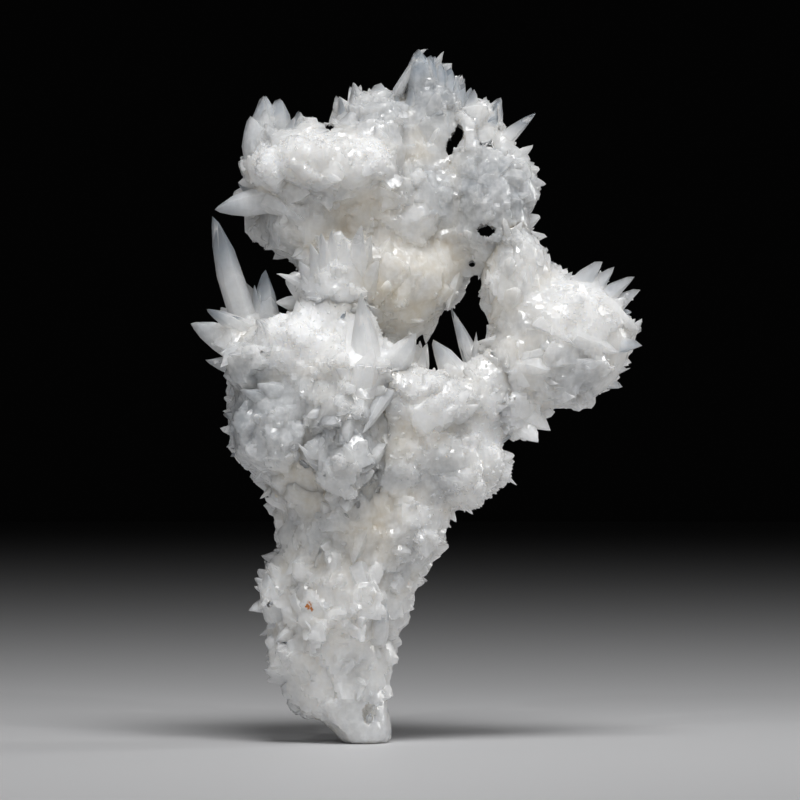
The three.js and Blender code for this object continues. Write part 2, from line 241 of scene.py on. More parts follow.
# Masses over the seams between two branches: the one that they belong to, centre and half sizes. The other
# one stays back under them.
SEAMS = [
    ("left_branch", (-6, -7, 84), (8, 5.4, 5.6)),
    ("left_branch", (-10, -8, 59), (5.4, 7, 9)),
    ("left_branch", (-3, -11, 61), (7, 10.5, 14)),
    ("trunk", (8, -10, 69), (7, 6.4, 6)),
    ("trunk", (24, -5, 70), (5.4, 6.4, 8)),
    ("right_branch", (31.4, -4, 96), (4.8, 6, 7)),
]

# A pit in the foot, and small holes right through the crown: centre and half sizes.
PITS = {"trunk": [((1, -8.6, 6.2), (1.4, 3.2, 2.4))]}
HOLES = {
    "crown": [
        ((19, 2, 121.8), (0.9, 30, 1.7)),
        ((18.2, 2, 120.4), (0.9, 30, 1.7)),
        ((17.2, 2, 119), (0.9, 30, 1.7)),
        ((24.4, 2, 102.2), (2, 30, 1.3)),
        ((21.6, 2, 95.6), (0.7, 30, 0.6)),
        ((-6.8, 2, 122.8), (0.9, 30, 0.8)),
    ],
}

# Crystals that stand free: root, tip, width, how blunt the end is, from 0 to 2, and how clear, from 0 to 1.
FREE_CRYSTALS = {
    "trunk": [
        ((0.8, -5.4, 4), (1.3, -8.8, 6.2), 1.8, 0.8, 1),
        ((11, -4, 69), (12, -6, 78.8), 4.4, 0.2, 0.3),
        ((13.4, -3, 68), (16, -6, 75), 4.4, 0.2, 0.3),
        ((22, -5, 68), (13.8, -7, 80.4), 6.6, 1, 0.5),
        ((22, -3, 63), (22.4, -4, 82), 4.2, 0.3, 0.5),
    ],
    "left_branch": [
        ((-21, 0, 76), (-30.2, -4, 105), 6.2, 1.8, 0.9),
        ((-19.6, 0, 76), (-19.6, -2, 94.4), 6, 1.4, 0.9),
        ((-20, 0, 80), (-21.8, -3, 91.4), 3.2, 0.7, 0.6),
        ((-22, -3, 82), (-31.2, -8, 86.4), 3.8, 1, 1),
        ((-20, -1, 77), (-34.6, -5, 83.6), 7.6, 1, 0.2),
        ((-18, -1, 74), (-31.6, -5, 76.4), 6.4, 0.5, 0.4),
        ((-12, -10, 66), (-24.4, -16, 70.4), 6, 0.4, 0.2),
        ((-11, -11, 67), (-21, -15.6, 71.6), 6.4, 0.8, 0.1),
        ((0.6, -14, 72), (-0.4, -16.6, 89.6), 7.4, 0.3, 0.4),
        ((4.6, -13, 72), (10.4, -15, 81.6), 5.8, 1, 0.3),
    ],
    "crown": [
        ((24, 2, 117), (34.4, 0, 125.8), 4, 0.7, 1),
        ((-14, -3, 109.6), (-29.6, -8, 106.2), 6.2, 1.5, 0.5),
        ((-2, -6, 88), (-0.4, -15, 103), 6.4, 0.4, 0.3),
    ],
    "right_branch": [
        ((32, -1, 84), (23.6, -4, 87.6), 5, 0.4, 0.1),
        ((32, -3, 80), (22.6, -6, 80), 4.6, 0.6, 0.1),
        ((25, 1, 69), (17.4, 1, 87), 5, 0.4, 0.8),
        ((33, -1, 79), (47.6, -3, 96), 7, 1.6, 0.4),
        ((34, -1, 79), (50, -2, 95), 6, 1.4, 0.4),
        ((36, 0, 80), (54, -3, 93), 6, 1.2, 0.5),
        ((36, -1, 78), (55.2, -2, 90.4), 6, 1.4, 0.4),
        ((32, -3, 78), (55.4, -6, 79.2), 7.4, 1.3, 0.8),
        ((34, -2, 76), (51.6, -3, 71), 7, 0.8, 0.6),
    ],
}

# Crystals that are fused with what is round them, in the same way.
FUSED_CRYSTALS = {
    "trunk": [
        ((-8, -7, 26), (-8.6, -12, 39.4), 5.6, 0.5, 0.2),
        ((-17, -4, 24), (-19.4, -7, 34), 6, 0.7, 0.2),
        ((-2, -6, 20), (-1, -11, 30), 5, 0.6, 0.3),
        ((2, -6, 19), (4.4, -11, 28.4), 5, 0.7, 0.3),
        ((-3, -6, 17), (-4, -11, 25), 4.4, 0.8, 0.2),
    ],
    "left_branch": [
        ((-13, -8, 61), (-17.6, -14.6, 56.4), 7, 1, 0.2),
        ((-20, -3, 64), (-28, -6, 65.6), 5.4, 0.5, 1),
        ((-20, -3, 60), (-26.6, -6, 58.8), 5, 0.4, 1),
        ((2, -11, 69), (7, -15.4, 74.6), 5.4, 0.7, 0.4),
        ((-3, -12, 60), (4, -16, 57.6), 4.6, 0.3, 0.2),
        ((-4, -12, 56), (3, -16, 52.8), 4.6, 0.3, 0.2),
    ],
    "crown": [
        ((12.4, 2, 124), (10.9, 0, 138.6), 7.4, 1.8, 0.7),
        ((10, 2, 118), (9.4, -1, 131), 5.4, 0.8, 0.5),
        ((13.6, 2, 123), (13.4, 0, 137.4), 7, 1.6, 0.8),
        ((14, 2, 122), (15.2, 0, 136.2), 7, 1.4, 0.7),
        ((15, 2, 121), (17.4, 0, 134.8), 6.4, 1.4, 0.9),
        ((16, 2, 120), (18.8, 0, 133.2), 6, 1, 0.6),
        ((15, 3, 118), (20.2, 0, 131.8), 7, 0.9, 0.8),
        ((15, 2, 112), (16, -2, 128), 6.4, 0.8, 0.3),
        ((20, 3, 112), (22, 0, 130.6), 7.4, 0.9, 0.4),
        ((22, 3, 112), (26.8, 0, 128.2), 6.4, 0.7, 1),
        ((-6, -4, 86), (-12.8, -11, 96), 6, 0.7, 0.1),
        ((-6, -5, 86), (-10.6, -13, 99.4), 6, 0.6, 0.1),
        ((-5, -5, 86), (-8.4, -14, 101.4), 5.6, 0.6, 0.2),
        ((-5, -5, 87), (-6.2, -14, 102), 5.6, 0.5, 0.2),
        ((-4, -5, 86), (-3.8, -14.4, 100.2), 6, 0.7, 0.1),
        ((-2, -5, 86), (1.6, -13, 101), 6, 0.6, 0.2),
        ((-2, -5, 84), (3, -12, 96), 6.4, 0.8, 0.1),
        ((-3, 3, 116), (-4.6, 0, 129), 5, 0.5, 0.6),
        ((-1, 3, 116), (-2.2, 0, 131.6), 5.4, 0.5, 0.4),
        ((2, 3, 116), (3.4, 0, 131.8), 9, 1.5, 0.3),
        ((5, 3, 116), (6.4, 0, 131.2), 6.4, 0.4, 0.9),
        ((-20, 0, 116), (-19.6, -1, 129.2), 7.4, 1.5, 0.4),
        ((-17.6, 0, 116), (-16.8, -1, 128.6), 6.6, 1.8, 0.5),
        ((-19.4, -2, 112), (-22.6, -4, 125), 7.4, 1.6, 0.1),
        ((-16.4, -2, 113), (-12.6, -5, 125.8), 7, 0.6, 0.5),
        ((-9, -2, 112), (-10.2, -4, 125), 7.4, 0.5, 1),
        ((-5, -2, 112), (-6, -4, 124.8), 5.6, 0.7, 0.3),
        ((-19, -2, 108), (-24.6, -5, 116.2), 6.4, 0.8, 1),
        ((-19, -2, 110), (-25, -5, 111.6), 5.4, 0.8, 0.8),
    ],
    "right_branch": [
        ((32, -1, 80), (37, -3, 97.6), 8, 1.6, 0.1),
        ((33, -1, 78), (41.6, -3, 94), 7.4, 0.7, 0.2),
        ((34, -2, 80), (53.4, -3, 85), 8, 1, 0.3),
        ((34, -2, 74), (52.4, -4, 74.6), 8, 0.9, 0.4),
        ((30, -2, 74), (42, -3, 66.6), 8, 0.8, 0.4),
        ((30, -4, 76), (46, -10, 79), 7, 0.9, 0.1),
        ((30, -4, 80), (43, -10, 86), 7, 0.9, 0.1),
        ((28, -4, 72), (40, -9, 71), 7, 0.9, 0.1),
    ],
}

# Spots of rough white crust with a painted highlight on lit tops, of cream tint with painted shade, and of more
# translucent, greyer crystal with painted shade: centre, radius and how strong, to 1.
SPOTS = {
    # White crust spots, brightened further as a painted highlight where the light falls on the tops.
    "snow_and_highlight": [
        ((-13.6, -12, 82), 10, 1),
        ((-18, -10, 117), 7, 0.8),
        ((-9, -10, 117), 7, 0.8),
        ((1, -9, 117), 6, 0.8),
        ((1, -14, 80), 10, 0.6),
        ((25, -8, 62), 8, 0.7),
        ((14, -12, 68), 7, 0.6),
        ((44, -6, 88), 12, 0.5),
        ((-15, -10, 75), 6, 0.4),
        ((-8, -12, 97), 9, 0.5),
    ],
    # Cream spots: a stain in part, painted shade in part.
    "cream_and_shade": [
        ((1.5, -5, 106), 8, 0.6),
        ((11, -6, 91), 15, 1),
        ((-10, -11, 53), 9, 1),
        ((6, -12, 61), 7, 0.9),
        ((1.5, -11, 43), 9, 1),
        ((-4, -10, 34), 6, 0.5),
        ((24, -5, 104), 8, 0.3),
        ((28, -8, 82), 8, 0.6),
        ((-10, -6, 100), 8, 0.5),
    ],
    # Grey spots: more translucent crystal in part, painted shade in part.
    "grey_and_shade": [
        ((26, -5, 109), 15, 1),
        ((14, -2, 132), 12, 1),
        ((-20, -4, 124), 9, 0.5),
        ((2, -4, 126), 9, 0.6),
        ((11, -5, 113), 8, 0.4),
        ((-21, -8, 66), 19, 1),
        ((-3, -14, 59), 13, 0.8),
        ((16, -12, 54), 7, 0.5),
        ((-5, -10, 43), 11, 0.5),
        ((8, -8, 38), 10, 0.4),
        ((0, -8, 6), 10, 0.4),
        ((42, -8, 72), 9, 0.5),
        ((-18, -4, 98), 8, 0.6),
    ],
}

# Colours, and a grain of rust on the front of the stem.
# White of the fine mottles and of the crust spots, where it is also a painted highlight.
SNOWY_AND_HIGHLIGHT = (0.95, 0.95, 0.95)
MILKY = (0.78, 0.775, 0.76)
GREYISH = (0.62, 0.63, 0.635)
# Grey of the spots of more translucent crystal, which is also painted shade.
GREY_AND_SHADE = (0.4, 0.42, 0.44)
MIST = (0.51, 0.52, 0.535)
# Cream of the hollows: a stain in part, painted shade in part.
CREAM_AND_SHADE = (0.72, 0.655, 0.54)
# Blue-grey of the glassy tips: a painted reflection.
ICY_TINT_AND_REFLECTION = (0.58, 0.68, 0.8)
GRAIN = (0.02, 0.02, 0.02)
RUST = (0.5, 0.18, 0.03)
RUST_AT = (-10.6, -10, 27.6)
RUST_SIZE = 1.1


NOISE_SEED = 4


# Geometry

class CrystalPile:
    """Closed crystals, each a mesh of its own, that are joined to a branch in the end."""

    def __init__(self, name, core):
        self.core = core
        self.collection = bpy.data.collections.new(name)
        bpy.context.scene.collection.children.link(self.collection)

    def add(self, root, tip, width, thin, habit=BLADE, flatness=0.6, blunt=0.3, clear=0.0, chance=0.5):
        """A root, rings of six corners and a tip. The crystal is thinnest the way that thin points."""
        root = self.core.inside(root)
        length = (tip - root).length
        turn = stance((tip - root) / length, thin)
        taper = SHARP_TAPER + (BLUNT_TAPER - SHARP_TAPER) * blunt
        points = [root]
        for level in habit.rings:
            wobble = noise.noise_vector(Vector((3 * level, 40 * chance, width))) * WOBBLE * width
            if level < habit.belt:
                radius = width / 2 * (0.35 + 0.65 * level / habit.belt)
            else:
                radius = width / 2 * (1 - ((level - habit.belt) / (1 - habit.belt)) ** taper)
            for corner in range(6):
                angle = corner * math.pi / 3
                step = habit.zigzag * (-1) ** corner
                corner_at = (radius * math.cos(angle), flatness * radius * math.sin(angle), length * (level + step))
                points.append(root + turn @ (Vector(corner_at) + wobble))
        points.append(tip)
        levels = np.array([0] + [level for level in habit.rings for _ in range(6)] + [1])
        glass = max(0, clear) * np.clip((levels - GLASSY_FROM) / (GLASSY_BY - GLASSY_FROM), 0, 1)
        looks = {"chance": chance, **self.core.looks_at(root.lerp(tip, 0.6))}
        self.add_mesh(np.clip(points, BOX_LOW, BOX_HIGH), crystal_faces(len(habit.rings)), glass, looks)

    def add_mesh(self, points, faces, glass, looks):
        name = f"{self.collection.name}_{len(self.collection.objects)}"
        mesh = bpy.data.meshes.new(name)
        mesh.from_pydata(points, [], faces)
        mesh.attributes.new("glass", "FLOAT", "POINT").data.foreach_set("value", glass)
        for look, value in looks.items():
            mesh.attributes.new(look, "FLOAT", "FACE").data.foreach_set("value", [value] * len(faces))
        self.collection.objects.link(bpy.data.objects.new(name, mesh))

    def join(self):
        """Joins the crystals to the core, and returns it."""
        combine(self.core.piece, self.collection, "UNION")
        return self.core.piece


def combine(piece, collection, operation):
    """Joins closed meshes to a piece or cuts them from it, and removes them."""
    modifier = piece.modifiers.new("combine", "BOOLEAN")
    modifier.operation = operation
    modifier.solver = "MANIFOLD"
    modifier.operand_type = "COLLECTION"
    modifier.collection = collection
    bake(piece)
    used = list(collection.objects)
    bpy.data.batch_remove(used + [tool.data for tool in used])
    bpy.data.collections.remove(collection)


def cut(piece, spots):
    """Cuts rough rounded spaces from a piece."""
    if not spots:
        return
    tools = bpy.data.collections.new("cuts")
    bpy.context.scene.collection.children.link(tools)
    for centre, half in spots:
        body = bmesh.new()
        form = Matrix.LocRotScale(Vector(centre), None, Vector(half))
        bmesh.ops.create_icosphere(body, subdivisions=4, radius=1, matrix=form)
        for vertex in body.verts:
            vertex.co += noise.noise_vector(vertex.co * 1.3) * min(half) * Vector((0.5, 0, 0.5))
        tools.objects.link(new_piece(f"cut_{len(tools.objects)}", body))
        body.free()
    combine(piece, tools, "DIFFERENCE")


def stance(direction, thin):
    """A turn that takes Z to the direction, and Y as near to thin as it can be."""
    across = thin.cross(direction)
    if across.length < 0.01:
        return direction.to_track_quat("Z", "Y").to_matrix()
    across.normalize()
    return Matrix((across, direction.cross(across), direction)).transposed()


def crystal_faces(rings):
    """The triangles of a crystal: its root is point 0, then come its rings of six and last its tip."""
    faces = []
    last = 1 + 6 * rings
    for i in range(6):
        j = (i + 1) % 6
        faces += [(0, 1 + j, 1 + i), (last - 6 + i, last - 6 + j, last)]
        for low in range(1, last - 6, 6):
            faces += [(low + i, low + j, low + 6 + j), (low + i, low + 6 + j, low + 6 + i)]
    return faces


def welded(node):
    """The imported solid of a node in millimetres, its faces sharing their vertices."""
    body = bmesh.new()
    body.from_mesh(frame["nodes"][node].data)
    bmesh.ops.scale(body, vec=(1 / MM,) * 3, verts=body.verts)
    bmesh.ops.remove_doubles(body, verts=body.verts, dist=1e-4)
    body.normal_update()
    return body


def peaks_of(body):
    """The tips that stand out of a welded solid, each with its normal."""
    found = []
    for vertex in body.verts:
        slopes = [(e.other_vert(vertex).co - vertex.co).normalized().dot(vertex.normal) for e in vertex.link_edges]
        if slopes and max(slopes) < PEAK_SLOPE:
            found.append((vertex.co.copy(), vertex.normal.copy()))
    return found


def add_fills(body, node):
    owned = [(centre, half) for owner, centre, half in SEAMS if owner == node]
    for centre, half in FILLS[node] + owned:
        form = Matrix.LocRotScale(Vector(centre), None, Vector(half))
        bmesh.ops.create_icosphere(body, subdivisions=4, radius=1, matrix=form)


def make_hull():
    """All branches as one smooth body, to find hollows and lumps by."""
    body = bmesh.new()
    for node in GROWTH:
        body.from_mesh(frame["nodes"][node].data)
    bmesh.ops.scale(body, vec=(1 / MM,) * 3, verts=body.verts)
    for node in GROWTH:
        add_fills(body, node)
    piece = new_piece("hull", body)
    body.free()
    make_even(piece, HULL_VOXEL)
    smooth(piece, HULL_SMOOTHING)
    corners = [vertex.co for vertex in piece.data.vertices]
    tree = BVHTree.FromPolygons(corners, [face.vertices for face in piece.data.polygons])
    bpy.data.meshes.remove(piece.data)
    return tree


class Core:
    """The form of a branch under its crystals: a closed mesh in millimetres, and the looks of its skin."""

    def __init__(self, node, body, hull):
        add_fills(body, node)
        self.piece = new_piece(node + "_crystals", body)
        make_even(self.piece, CORE_VOXEL)
        smooth(self.piece, CORE_SMOOTHING)
        depth = self.fit_to(hull, node)
        self.find_looks(depth)
        self.shape_skin(node)
        self.write_looks()
        cut(self.piece, PITS.get(node))

    def fit_to(self, hull, node):
        """Fills the hollows and flattens the lumps in part, and returns how deep each place lay."""
        places, _ = arrays_of(self.piece.data)
        taken = taken_up(node, places)
        depth = np.zeros(len(places))
        for i, place in enumerate(places):
            near, normal, _, distance = hull.find_nearest(Vector(place))
            towards = near - Vector(place)
            if towards.dot(normal) > 0:
                depth[i] = distance
                fill = 0 if taken[i] else min(1, max(0, 2 - 2 * distance / TOO_DEEP))
                places[i] += towards * HOLLOW_FILLED * fill
            else:
                places[i][1] += towards.y * FLATTENED * abs(normal.y)
        self.piece.data.vertices.foreach_set("co", places.astype(np.float32).ravel())
        smooth(self.piece, 2)
        return depth

    def find_looks(self, depth):
        """Beige tint and painted shade in the hollows, and the spots of white crust and painted highlight, of beige
        tint and of greyer crystal with painted shade.
        """
        places, self.normals = arrays_of(self.piece.data)
        self.looks = {"cream_and_shade": np.clip(depth / HOLLOW_DEPTH, 0, 1), "snow_and_highlight": 0 * depth, "grey_and_shade": 0 * depth}
        for look, spots in SPOTS.items():
            for centre, radius, strength in spots:
                reach = np.linalg.norm(places - centre, axis=1) / radius
                self.looks[look] += strength * np.clip(1.5 * (1 - reach), 0, 1)
            self.looks[look] = np.clip(self.looks[look], 0, 1)
        self.tree = KDTree(len(places))
        for i, place in enumerate(places):
            self.tree.insert(place, i)
        self.tree.balance()

    def shape_skin(self, node):
        """Gives the skin its facets, and draws it back round the crystals that stand free."""
        places, normals = arrays_of(self.piece.data)
        taken = taken_up(node, places)
        seamed = in_seams(node, places)
        for i in range(len(places)):
            place = Vector(places[i])
            if seamed[i]:
                rise = -SEAM_CLEARANCE
            elif taken[i]:
                rise = -CLEARANCE
            else:
                calm = 1 - CREAM_AND_SHADE_CALM * self.looks["cream_and_shade"][i]
                rise = calm * sum(facet_height(place, *facet) for facet in CORE_FACETS)
            places[i] += normals[i] * rise * min(1, max(0, place.z) / SMOOTH_BELOW)
        self.piece.data.vertices.foreach_set("co", np.clip(places, BOX_LOW, BOX_HIGH).astype(np.float32).ravel())
        self.piece.data.update()

    def write_looks(self):
        mesh = self.piece.data
        mesh.attributes.new("glass", "FLOAT", "POINT")
        mesh.attributes.new("chance", "FLOAT", "FACE")
        for look, values in self.looks.items():
            of_faces = [values[face.vertices[0]] for face in mesh.polygons]
            mesh.attributes.new(look, "FLOAT", "FACE").data.foreach_set("value", of_faces)

    def looks_at(self, point):
        nearest = self.tree.find(point)[1]
        return {look: values[nearest] for look, values in self.looks.items()}

    def inside(self, point):
        """The point itself if it lies under the skin, or else one under the nearest place of the skin."""
        place, index, _ = self.tree.find(point)
        normal = Vector(self.normals[index])
        return point if (point - place).dot(normal) < -ROOT_DEPTH else place - normal * ROOT_DEPTH


def make_even(piece, voxel):
    """Gives a piece an even mesh, and drops the specks that lie apart from its largest part."""
    modifier = piece.modifiers.new("even", "REMESH")
    modifier.mode = "VOXEL"
    modifier.voxel_size = voxel
    bake(piece)
    body = bmesh.new()
    body.from_mesh(piece.data)
    left = set(body.verts)
    parts = []
    while left:
        todo = [left.pop()]
        part = set(todo)
        while todo:
            beside = {edge.other_vert(vertex) for vertex in todo for edge in vertex.link_edges}
            todo = list(beside & left)
            left -= beside
            part |= beside
        parts.append(part)
    largest = max(parts, key=len)
    bmesh.ops.delete(body, geom=[vertex for vertex in body.verts if vertex not in largest], context="VERTS")
    body.to_mesh(piece.data)
    body.free()


def new_piece(name, body):
    mesh = bpy.data.meshes.new(name)
    body.to_mesh(mesh)
    piece = bpy.data.objects.new(name, mesh)
    bpy.context.scene.collection.objects.link(piece)
    return piece


def smooth(piece, iterations):
    modifier = piece.modifiers.new("round", "SMOOTH")
    modifier.factor = 0.5
    modifier.iterations = iterations
    bake(piece)


def arrays_of(mesh):
    """The places and normals of a mesh's vertices."""
    count = len(mesh.vertices)
    places = np.empty(count * 3, np.float32)
    normals = np.empty(count * 3, np.float32)
    mesh.vertices.foreach_get("co", places)
    mesh.vertices.foreach_get("normal", normals)
    return places.reshape(-1, 3).astype(float), normals.reshape(-1, 3).astype(float)


def in_seams(node, points):
    """Which points lie in a seam mass of another branch."""
    covered = np.zeros(len(points), bool)
    for owner, centre, half in SEAMS:
        if owner != node:
            covered |= np.linalg.norm((points - centre) / half, axis=1) < 1
    return covered


def taken_up(node, points):
    """Which points lie at the outer part of a crystal that stands free, or in the seam of another branch."""
    covered = in_seams(node, points)
    for root, tip, width, _, _ in FREE_CRYSTALS[node]:
        axis = np.subtract(tip, root)
        along = np.clip((points - root) @ axis / (axis @ axis), CLEAR_FROM, 1)
        away = np.linalg.norm(points - (root + along[:, None] * axis), axis=1)
        covered |= away < width / 2 + CLEARANCE
    return covered


def facet_height(place, size, tilt):
    """Height of a skin of flat faces of about one size, each tilted its own way."""
    centre = noise.voronoi(place / size)[1][0]
    lean = noise.noise_vector(centre * FACET_VARIETY)
    return size * tilt * (place / size - centre).dot(lean)


def bake(piece):
    """Puts the result of a piece's modifiers into its mesh."""
    graph = bpy.context.evaluated_depsgraph_get()
    made = bpy.data.meshes.new_from_object(piece.evaluated_get(graph), depsgraph=graph)
    old = piece.data
    piece.modifiers.clear()
    piece.data = made
    bpy.data.meshes.remove(old)


def scattered(mesh, spacing, rng):
    """Points spread over a mesh, no two nearer than the spacing, each with its normal."""
    mesh.calc_loop_triangles()
    count = len(mesh.loop_triangles)
    corners = np.empty(count * 3, np.int32)
    mesh.loop_triangles.foreach_get("vertices", corners)
    places, normals = arrays_of(mesh)
    a, b, c = places[corners.reshape(-1, 3)].transpose(1, 0, 2)
    normal = normals[corners.reshape(-1, 3)].mean(axis=1)
    areas = np.linalg.norm(np.cross(b - a, c - a), axis=1) / 2
    wanted = int(areas.sum() / spacing**2 * 4)
    chosen = rng.choice(count, wanted, p=areas / areas.sum())
    u, v = rng.random((2, wanted, 1))
    over = (u + v) > 1
    u, v = np.where(over, 1 - u, u), np.where(over, 1 - v, v)
    points = a[chosen] + u * (b - a)[chosen] + v * (c - a)[chosen]
    kept, cells = [], {}
    around = [(x, y, z) for x in (-1, 0, 1) for y in (-1, 0, 1) for z in (-1, 0, 1)]
    for point, face in zip(points, chosen):
        x, y, z = (point // spacing).astype(int)
        near = [other for dx, dy, dz in around for other in cells.get((x + dx, y + dy, z + dz), ())]
        if all(((point - other) ** 2).sum() > spacing**2 for other in near):
            cells.setdefault((x, y, z), []).append(point)
            kept.append((Vector(point), Vector(normal[face]).normalized()))
    return kept


def zone_at(node, point):
    """The growth centre that a point belongs to."""
    return min(GROWTH[node], key=lambda zone: (Vector(zone.centre) - point).length)


def jitter(random_, amount):
    return Vector([random_.uniform(-amount, amount) for _ in range(3)])


def grow_large(pile, node, peaks, random_):
    """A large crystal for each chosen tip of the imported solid, reaching it."""
    taken = taken_up(node, np.array([tip for tip, _ in peaks]))
    for tip, normal in [peak for peak, covered in zip(peaks, taken) if not covered]:
        zone = zone_at(node, tip)
        share = zone.front if normal.y < FACES_FRONT else zone.large
        if tip.z < SMOOTH_BELOW or random_.random() > share:
            continue
        away = (tip - Vector(zone.centre)).normalized()
        direction = (away + normal * 0.6 + jitter(random_, 0.12)).normalized()
        width = zone.width * random_.uniform(0.8, 1.3)
        pile.add(
            tip - direction * max(zone.length, 1.9 * width),
            tip,
            width,
            thin=FRONT + jitter(random_, 0.8),
            flatness=random_.uniform(0.45, 0.8),
            blunt=random_.choice((0.4, 0.6, 0.8, 1)),
            clear=random_.uniform(-0.6, 1) if abs(normal.y) < SIDEWAYS else 0,
            chance=random_.random(),
        )


def grow_small(pile, node, places, generation, share_of, random_):
    """Smaller crystals between the large ones, leaning away from the growth centre."""
    for point, normal in places:
        zone = zone_at(node, point)
        crusted = (point.z - SMOOTH_BELOW) / (CRUSTED_ABOVE - SMOOTH_BELOW)
        if random_.random() > min(crusted, share_of(zone, point, pile.core)):
            continue
        away = (point - Vector(zone.centre)).normalized() + jitter(random_, 0.15)
        lean = (away - normal * away.dot(normal)).normalized()
        size = random_.uniform(0.6, 1.4)
        pile.add(
            point - (normal * generation.depth + lean * generation.back) * size,
            point + (normal * generation.out + lean * generation.ahead) * size,
            generation.width * size * zone.width / 5 * random_.uniform(0.8, 1.2),
            thin=normal + jitter(random_, 0.5),
            habit=generation.habit,
            flatness=random_.uniform(0.4, 0.8),
            blunt=random_.choice((0, 0.3, 0.6, 0.9)),
            chance=random_.random(),
        )


def grow_bundle(pile, root, tip, width, blunt, clear, random_):
    """One crystal, with thinner ones along its sides that end short of its tip."""
    thin = (FRONT + jitter(random_, 0.3)).normalized()
    axis = tip - root
    across = axis.cross(thin).normalized()
    pile.add(root, tip, 0.9 * width, thin, blunt=blunt, clear=clear, chance=random_.random())
    for side in BUNDLE_SIDES:
        level = random_.uniform(*BUNDLE_REACH)
        shift = (across * side + thin * random_.uniform(-0.2, 0.5)) * width * (1.05 - level) / 2
        pile.add(
            root + shift,
            root + axis * level + shift,
            width * random_.uniform(0.4, 0.6),
            thin + jitter(random_, 0.3),
            blunt=random_.uniform(0.2, 1),
            clear=clear,
            chance=random_.random(),
        )


def ray_share(zone, point, core):
    return zone.rays * (1 - CREAM_AND_SHADE_CALM * core.looks_at(point)["cream_and_shade"])


def leaf_share(zone, point, core):
    return zone.leaves * (1 - CREAM_AND_SHADE_CALM * core.looks_at(point)["cream_and_shade"])


def chip_share(zone, point, core):
    """Chips cover the spots of white crust and painted highlight, and patches elsewhere."""
    patchy = noise.noise(point / CHIP_PATCH) < zone.fine - 0.45
    return 1 if patchy or core.looks_at(point)["snow_and_highlight"] > 0.3 else 0


def open_places(node, mesh, spacing, rng):
    """Scattered places that nothing else takes up."""
    places = scattered(mesh, spacing, rng)
    taken = taken_up(node, np.array([point for point, _ in places]))
    return [place for place, covered in zip(places, taken) if not covered]


def make_branch(node, seed, hull):
    random_ = random.Random(seed)
    rng = np.random.default_rng(seed)
    body = welded(node)
    peaks = peaks_of(body)
    core = Core(node, body, hull)
    body.free()
    pile = CrystalPile(node, core)
    grow_large(pile, node, peaks, random_)
    for root, tip, width, blunt, clear in FREE_CRYSTALS[node] + FUSED_CRYSTALS[node]:
        grow_bundle(pile, Vector(root), Vector(tip), width, blunt, clear, random_)
    for generation, share_of in ((RAYS, ray_share), (LEAVES, leaf_share), (CHIPS, chip_share)):
        places = open_places(node, core.piece.data, generation.spacing, rng)
        grow_small(pile, node, places, generation, share_of, random_)
    piece = pile.join()
    cut(piece, HOLES.get(node))
    piece.data.transform(Matrix.Scale(MM, 4))
    piece.data.materials.clear()
    piece.data.materials.append(calcite)
    piece.data.polygons.foreach_set("material_index", [0] * len(piece.data.polygons))
    piece.data.set_sharp_from_angle(angle=SHARP_ANGLE)
    piece.data.calc_loop_triangles()
    print(node, len(piece.data.loop_triangles), "triangles")
    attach(piece, "root")
    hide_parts(node)
    return piece


# Materials

def new_material(name):
    material = bpy.data.materials.new(name)
    material.use_nodes = True
    return material, material.node_tree.nodes, material.node_tree.links


def attribute(nodes, name):
    node = nodes.new("ShaderNodeAttribute")
    node.attribute_name = name
    return node.outputs["Fac"]


def math_node(nodes, links, operation, first, second):
    """A Math node of two values, each a number or the output of another node."""
    node = nodes.new("ShaderNodeMath")
    node.operation = operation
    for socket, value in zip(node.inputs, (first, second)):
        if isinstance(value, bpy.types.NodeSocket):
            links.new(value, socket)
        else:
            socket.default_value = value
    return node.outputs["Value"]


def ranged(nodes, links, value, low, high, new_low, new_high):
    """A value stretched from one range to another, and kept inside it."""
    node = nodes.new("ShaderNodeMapRange")
    limits = {"From Min": low, "From Max": high, "To Min": new_low, "To Max": new_high}
    for name, limit in limits.items():
        node.inputs[name].default_value = limit
    links.new(value, node.inputs["Value"])
    return node.outputs["Result"]


def mixed(nodes, links, share, first, second):
    """Two colours mixed, each a colour or the output of another node."""
    node = nodes.new("ShaderNodeMix")
    node.data_type = "RGBA"
    links.new(share, node.inputs["Factor"])
    for socket, value in ((node.inputs["A"], first), (node.inputs["B"], second)):
        if isinstance(value, bpy.types.NodeSocket):
            links.new(value, socket)
        else:
            socket.default_value = (*value, 1)
    return node.outputs["Result"]


def textured(nodes, links, kind, place, scale, detail=2.0):
    """A noise or cell texture whose size is given in millimetres."""
    node = nodes.new(f"ShaderNodeTex{kind}")
    node.inputs["Scale"].default_value = 1 / (scale * MM)
    if "Detail" in node.inputs:
        node.inputs["Detail"].default_value = detail
    links.new(place, node.inputs["Vector"])
    return node


